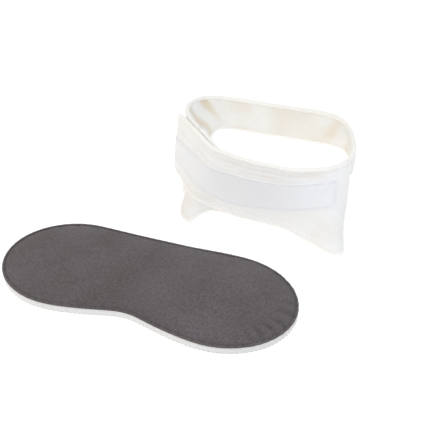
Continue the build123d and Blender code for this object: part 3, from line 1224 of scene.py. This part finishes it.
@dataclass
class EyePad:
    """The contoured pad: backing, side band, filling, face cloth and rolled rim.

    Attributes:
        length: end to end.
        width: across a lobe.
        notch: depth of the hollow over the nose.
        notch_sharp: how much the hollow draws to its middle.
        dip: depth of the hollow at the brow.
        lobe: distance of each lobe's centre from the middle.
        rim_z: height of the seam under the rolled rim.
        swell: how far the face may rise above the rim's seam.
    """

    length: float = 216.0
    width: float = 88.0
    notch: float = 9.5
    notch_sharp: float = 0.35
    dip: float = 1.0
    lobe: float = 56.0
    rim_z: float = 6.4
    swell: float = 2.8

    def outline(self, inset: float, step: float = 1.2) -> Array:
        """The pad's outline moved in.

        Args:
            inset: distance in from the edge.
            step: spacing of the points.

        Returns:
            Closed outline, counter-clockwise.
        """
        half = self.width / 2 - inset
        end = self.length / 2 - self.lobe - inset
        turn = np.linspace(-math.pi / 2, math.pi / 2, 120)
        right = np.column_stack([self.lobe + end * np.cos(turn), half * np.sin(turn)])
        left = -right
        t = np.linspace(0, 1, 80)[1:-1]
        lift = 16 * t**2 * (1 - t) ** 2
        brow = np.column_stack([self.lobe * (1 - 2 * t), half - self.dip * lift])
        draw = np.exp(-(((2 * t - 1) / 0.32) ** 2)) - np.exp(-((1 / 0.32) ** 2))
        hollow = (1 - self.notch_sharp) * lift + self.notch_sharp * draw
        nose = np.column_stack([self.lobe * (2 * t - 1), -half + self.notch * hollow])
        return respace(np.vstack([right, brow, left, nose]), step)

    @staticmethod
    def rim_frame(line: Array) -> tuple[Array, Array]:
        """Find the outward and upward directions along an outline of the pad.

        Args:
            line: n by 2 array, counter-clockwise.

        Returns:
            Two n by 3 arrays, outward and upward.
        """
        flat = np.zeros(len(line))
        return np.column_stack([-inward_of(line), flat]), np.column_stack([flat, flat, flat + 1])

    def face_heights(self, flat: FlatMesh) -> Array:
        """Blow the face cloth up from its sewn edge with a cloth simulation.

        Args:
            flat: the face's pattern piece.

        Returns:
            How far each point rises above the seam.
        """
        dome = self.swell * (1 - np.exp(-flat.depth / 5.5))
        x, y = flat.points.T
        ripple = 0.25 * value_noise(x / 19, y / 15, 51) * ramp(flat.depth, 1, 10)
        mesh = bpy.data.meshes.new("face_trial")
        start = np.column_stack([flat.points, np.full(len(flat.points), 0.0) + 0.3 * dome])
        scale = 0.01
        mesh.from_pydata((start * scale).tolist(), [], flat.faces.tolist())
        trial = bpy.data.objects.new("face_trial", mesh)
        bpy.context.scene.collection.objects.link(trial)
        pins = trial.vertex_groups.new(name="sewn")
        pins.add([int(i) for i in np.nonzero(flat.depth < 0.7)[0]], 1.0, "REPLACE")
        cloth = trial.modifiers.new("cloth", "CLOTH")
        cloth.settings.vertex_group_mass = "sewn"
        cloth.settings.quality = 6
        cloth.settings.mass = 0.2
        cloth.settings.tension_stiffness = 18
        cloth.settings.compression_stiffness = 12
        cloth.settings.shear_stiffness = 5
        cloth.settings.bending_stiffness = 0.4
        cloth.settings.shrink_min = -0.012
        cloth.settings.use_pressure = True
        cloth.settings.uniform_pressure_force = 2.2
        cloth.settings.effector_weights.gravity = 0
        cloth.collision_settings.use_collision = False
        scene = bpy.context.scene
        first = scene.frame_current
        for step in range(1, 26):
            scene.frame_set(step)
        graph = bpy.context.evaluated_depsgraph_get()
        shaped = trial.evaluated_get(graph).to_mesh()
        out = np.zeros(len(shaped.vertices) * 3)
        shaped.vertices.foreach_get("co", out)
        rise = out.reshape(-1, 3)[:, 2] / scale
        trial.evaluated_get(graph).to_mesh_clear()
        scene.frame_set(first)
        bpy.data.objects.remove(trial)
        LOG.info("face cloth rose %.1f to %.1f mm", rise.min(), rise.max())
        top = float(np.percentile(rise, 98))
        bumps = rise / max(top, 0.1) * self.swell
        return np.clip(0.45 * dome + 0.55 * bumps, 0, self.swell * 1.15) + ripple

    def face(self) -> bpy.types.Object:
        """Charcoal face cloth, puffed over the filling."""
        flat = FlatMesh.cut(self.outline(1.0), 1.9, (0.8, 1.6, 2.6, 4.0), 52)
        rise = self.face_heights(flat)
        run = np.arctan2(flat.points[:, 1], flat.points[:, 0]) * 70
        pucker = 0.22 * np.sin(run / 1.15 + 2.5 * value_noise(run / 11, run * 0 + 0.5, 53))
        pucker *= np.exp(-flat.depth / 3.2) * ramp(flat.depth, 0, 1.2)
        spread = np.degrees(np.arctan2(flat.points[:, 1], flat.points[:, 0] - self.lobe))
        tug = 0.85 * np.exp(-(((spread + 28) / 34) ** 2))
        tug *= np.sin(spread / 1.75 + value_noise(spread / 8, spread * 0, 61))
        tug *= ramp(flat.points[:, 0], 70, 84) * np.exp(-(((flat.depth - 7) / 6.5) ** 2))
        top = self.rim_z - 0.2 + rise + pucker + tug
        front = np.column_stack([flat.points, top])
        back = np.column_stack([flat.points, top - 0.6])
        # Painted shade in the valleys of the puckers and tugs, and along the edge where the face cloth
        # meets the rim.
        shade_and_tint_amount = np.clip(-pucker * 2.0 - tug * 0.8, 0, 0.6) + 0.2 * np.exp(-flat.depth / 0.8)
        return make_piece(
            "pad_face_cloth", np.vstack([front, back]), flat.closed(flip=False), CHARCOAL,
            np.vstack([flat.points] * 2) * MM, np.r_[shade_and_tint_amount, shade_and_tint_amount],
        )

    def filling(self) -> bpy.types.Object:
        """Soft filling between backing and face."""
        flat = FlatMesh.cut(self.outline(1.8), 4.0, (1.2, 2.4), 54)
        rise = 0.85 * self.swell * (1 - np.exp(-flat.depth / 6.5))
        front = np.column_stack([flat.points, self.rim_z - 1.3 + rise * 0.8])
        back = np.column_stack([flat.points, np.full(len(flat.points), 1.0)])
        return make_piece(
            "pad_wadding", np.vstack([front, back]), flat.closed(flip=False), FOAM,
            np.vstack([flat.points] * 2) * MM,
        )

    def rim(self) -> bpy.types.Object:
        """Rolled charcoal rim with small gathers."""
        line = self.outline(0.95, 1.0)
        side, up = self.rim_frame(line)
        run = np.arange(len(line)) * 1.0
        gather = 0.12 * np.sin(run / 0.95 + 2.2 * value_noise(run / 9, run * 0, 55))
        gather += 0.16 * value_noise(run / 6, run * 0 + 3.5, 56)
        busy = 0.6 + 1.2 * ramp(line[:, 0], 70, 100)
        centres = np.column_stack([line, self.rim_z - 0.1 + 0.3 * value_noise(run / 23, run * 0 + 7.5, 57)])
        wide = 0.95 + gather * busy * 0.4
        tall = 0.8 + gather * busy * 0.8
        # Painted shade in the valleys of the gathers, over a slight even tint.
        shade_and_tint_amount = np.clip(0.1 - gather * 2, 0, 1)
        return tube("pad_rolled_rim", centres, side, up, wide, tall, CHARCOAL_EDGE, 14, shade_and_tint_amount)

    def band(self) -> bpy.types.Object:
        """White side band round the pad."""
        line = self.outline(1.1, 1.0)
        side, up = self.rim_frame(line)
        run = np.arange(len(line)) * 1.0
        wave = 0.15 * value_noise(run / 8, run * 0 + 2.5, 58) + 0.05 * np.sin(run * 2 * math.pi / 5.3)
        centres = np.column_stack([line, np.full(len(line), 3.2)])
        shade_and_tint_amount = np.clip(0.05 + wave, 0, 1)
        tall = np.full(len(line), 2.75)
        return tube("pad_side_wall", centres, side, up, 1.25 + wave, tall, WHITE, 16, shade_and_tint_amount)

    def backing(self) -> bpy.types.Object:
        """White backing cloth that the pad lies on."""
        flat = FlatMesh.cut(self.outline(0.5), 3.0, (0.5, 1.2, 2.4), 59)
        lift = 0.55 * np.exp(-flat.depth / 0.9)
        x, y = flat.points.T
        ripple = 0.12 * (1 + value_noise(x / 12, y / 12, 60)) * ramp(flat.depth, 1, 6)
        top = np.column_stack([flat.points, 1.0 + ripple * 0.3])
        low = np.column_stack([flat.points, lift + ripple])
        return make_piece(
            "pad_backing_cloth", np.vstack([top, low]), flat.closed(flip=False), WHITE,
            np.vstack([flat.points] * 2) * MM,
        )

    def build(self) -> None:
        """Make and place every piece of the pad."""
        face, filling, rim = self.face(), self.filling(), self.rim()
        band, backing = self.band(), self.backing()
        line = self.outline(1.9, 1.0)
        points = np.column_stack([line, np.full(len(line), self.rim_z + 0.62)])
        stitches = StitchRun(pitch=0.003, length=0.0019, radius=0.00022, finish=DARK_THREAD).sew(
            "pad_rim_stitches", points, True
        )
        low_line = self.outline(0.05, 1.0)
        low_points = np.column_stack([low_line, np.full(len(low_line), 0.95)])
        base_run = StitchRun(pitch=0.003, length=0.0019, radius=0.00025)
        low_stitches = base_run.sew("pad_base_stitches", low_points, True)
        pairs = (
            (face, "pad_face", "charcoal_cloth"), (rim, "pad_edge_roll", "charcoal_edge"),
            (filling, "pad_filling", "foam"), (band, "pad_side_band", "white_cloth"),
            (backing, "pad_backing", "white_cloth"),
        )
        for piece, node, slot in pairs:
            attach(piece, "eye_pad")
            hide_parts(node)
        for piece, slot in ((stitches, "charcoal_edge"), (low_stitches, "white_cloth")):
            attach(piece, "eye_pad")


# ---------------------------------------------------------------- studio


@dataclass
class Studio:
    """Camera, floor and lights.

    Attributes:
        eye: camera position, metres.
        target: where it looks, metres.
        lens: focal length for a 36 mm wide frame.
    """

    eye: tuple[float, float, float] = (0.1381, -0.3441, 0.2868)
    target: tuple[float, float, float] = (0.0102, 0.0296, 0.0)
    lens: float = 50.2

    def camera(self) -> None:
        """Stand the camera in front, above and a little to the right."""
        data = bpy.data.cameras.new("camera")
        data.lens = self.lens
        data.sensor_width = 36.0
        data.clip_start = 0.01
        cam = bpy.data.objects.new("camera", data)
        cam.location = self.eye
        aim = Vector(self.target) - Vector(self.eye)
        cam.rotation_euler = aim.to_track_quat("-Z", "Y").to_euler()
        bpy.context.scene.collection.objects.link(cam)
        bpy.context.scene.camera = cam

    def floor(self) -> None:
        """Plain white table that glows a little and mirrors a trace."""
        size = 4.0
        mesh = bpy.data.meshes.new("floor")
        mesh.from_pydata(
            [(-size, -size, 0), (size, -size, 0), (size, size, 0), (-size, size, 0)], [], [(0, 1, 2, 3)]
        )
        obj = bpy.data.objects.new("floor", mesh)
        mat = bpy.data.materials.new("floor_white")
        mat.use_nodes = True
        shader = mat.node_tree.nodes["Principled BSDF"]
        shader.inputs["Base Color"].default_value = (0.42, 0.42, 0.42, 1)
        shader.inputs["Roughness"].default_value = 0.12
        shader.inputs["Specular IOR Level"].default_value = 0.35
        shader.inputs["Emission Color"].default_value = (1, 1, 1, 1)
        shader.inputs["Emission Strength"].default_value = 0.74
        mesh.materials.append(mat)
        bpy.context.scene.collection.objects.link(obj)

    def light(self, name: str, place: tuple[float, float, float], size: float, power: float,
              colour: tuple[float, float, float] = (1, 1, 1)) -> None:
        """Hang one soft box.

        Args:
            name: object name.
            place: position, metres.
            size: side of the square box, metres.
            power: watts.
            colour: its tint.
        """
        data = bpy.data.lights.new(name, "AREA")
        data.shape = "SQUARE"
        data.size = size
        data.energy = power
        data.color = colour
        obj = bpy.data.objects.new(name, data)
        obj.location = place
        aim = Vector((0, 0.03, 0.02)) - Vector(place)
        obj.rotation_euler = aim.to_track_quat("-Z", "Y").to_euler()
        bpy.context.scene.collection.objects.link(obj)

    def build(self) -> None:
        """Set up the whole studio."""
        self.camera()
        self.floor()
        self.light("key", (-0.15, -1.05, 0.95), 0.8, 6.0, (1.0, 0.995, 0.995))
        self.light("left", (-0.95, -0.35, 0.55), 0.8, 2.3, (1.0, 0.87, 0.60))
        self.light("right", (0.8, -0.05, 0.75), 0.8, 2.4, (0.82, 0.91, 1.0))
        self.light("back", (0.1, 1.1, 0.9), 0.9, 2.4)
        self.light("top", (0.0, 0.15, 1.3), 0.9, 0.9)
        world = bpy.data.worlds.new("studio")
        world.use_nodes = True
        world.node_tree.nodes["Background"].inputs["Color"].default_value = (1, 1, 1, 1)
        world.node_tree.nodes["Background"].inputs["Strength"].default_value = 0.5
        scene = bpy.context.scene
        scene.world = world
        scene.view_settings.view_transform = "Standard"


def main() -> None:
    """Build the studio and the mask; each piece's face count is logged."""
    logging.basicConfig(level=logging.INFO, format="%(name)s: %(message)s")
    Studio().build()
    EyePad().build()
    HeadWrap().build()


if __name__ == "__main__":
    main()
